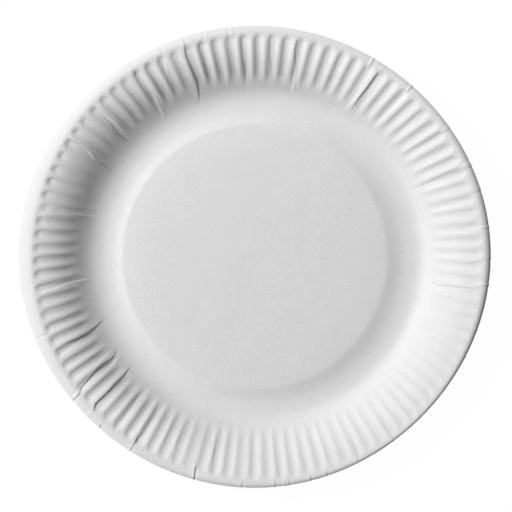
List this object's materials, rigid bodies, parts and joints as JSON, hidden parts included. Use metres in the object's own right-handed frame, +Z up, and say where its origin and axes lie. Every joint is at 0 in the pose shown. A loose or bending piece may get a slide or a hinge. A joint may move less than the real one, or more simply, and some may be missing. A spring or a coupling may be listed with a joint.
{
  "type": "paper plate",
  "caption": "Round pressed paperboard plate with a raised flat panel, a sloping fluted wall and a rolled lip, for serving food once.",
  "frame": {"origin": "centre of the underside of the foot ring that the plate rests on", "axes": "+Z up through the middle of the plate, square to the panel; +X and +Y lie in the plane that the plate rests on"},
  "size_m": [0.23, 0.23, 0.0182],
  "materials": {
    "paperboard": "matte uncoated"
  },
  "bodies": {
    "root": {"plate": "paperboard"}
  },
  "joints": []
}
